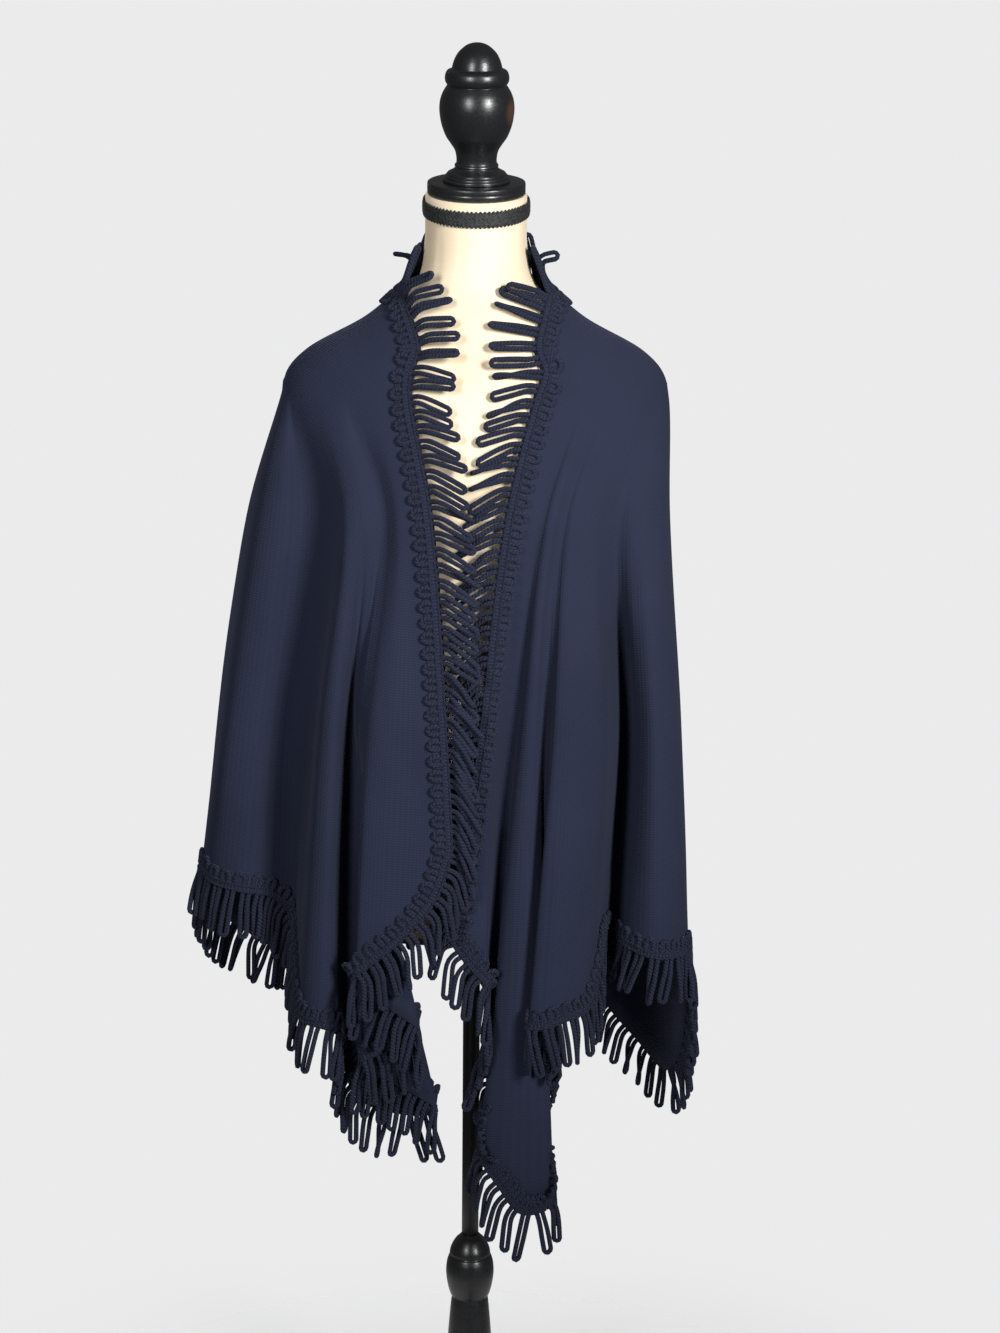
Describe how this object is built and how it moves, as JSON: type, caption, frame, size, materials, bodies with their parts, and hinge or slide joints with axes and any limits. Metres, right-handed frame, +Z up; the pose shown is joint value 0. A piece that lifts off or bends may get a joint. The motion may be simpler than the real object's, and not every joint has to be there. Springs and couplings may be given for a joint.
{
  "type": "fringed shawl on a dress form",
  "caption": "Knit shawl with a looped cord fringe on every edge, draped round the shoulders of a limbless dress form with a turned neck knob on a pole and footed stand.",
  "frame": {"origin": "centre of the part's box in X and Y, on the floor that the feet stand on", "axes": "+Z up, the front of the shawl faces -Y, +X is the viewer's right"},
  "size_m": [0.5442, 0.4336, 1.551],
  "materials": {
    "knit": "matt fine knit",
    "fringe": "dull twisted cord",
    "jersey": "matt stretched jersey",
    "black_wood": "satin black paint on turned wood",
    "black_metal": "satin black",
    "braid": "flat woven gimp",
    "plain_wood": "plain sealed wood"
  },
  "bodies": {
    "root": {"shawl_cloth": "knit", "torso": "jersey", "base_board": "plain_wood", "neck_braid": "braid", "neck_plate": "black_wood", "finial": "black_wood", "pole": "black_metal", "hub": "black_wood", "leg_1": "black_wood", "leg_2": "black_wood", "leg_3": "black_wood", "fringe_neck": "fringe", "fringe_front_left": "fringe", "fringe_tail_left": "fringe", "fringe_side_left": "fringe", "fringe_back": "fringe", "fringe_side_right": "fringe", "fringe_tail_right": "fringe", "fringe_front_right": "fringe"}
  },
  "joints": []
}
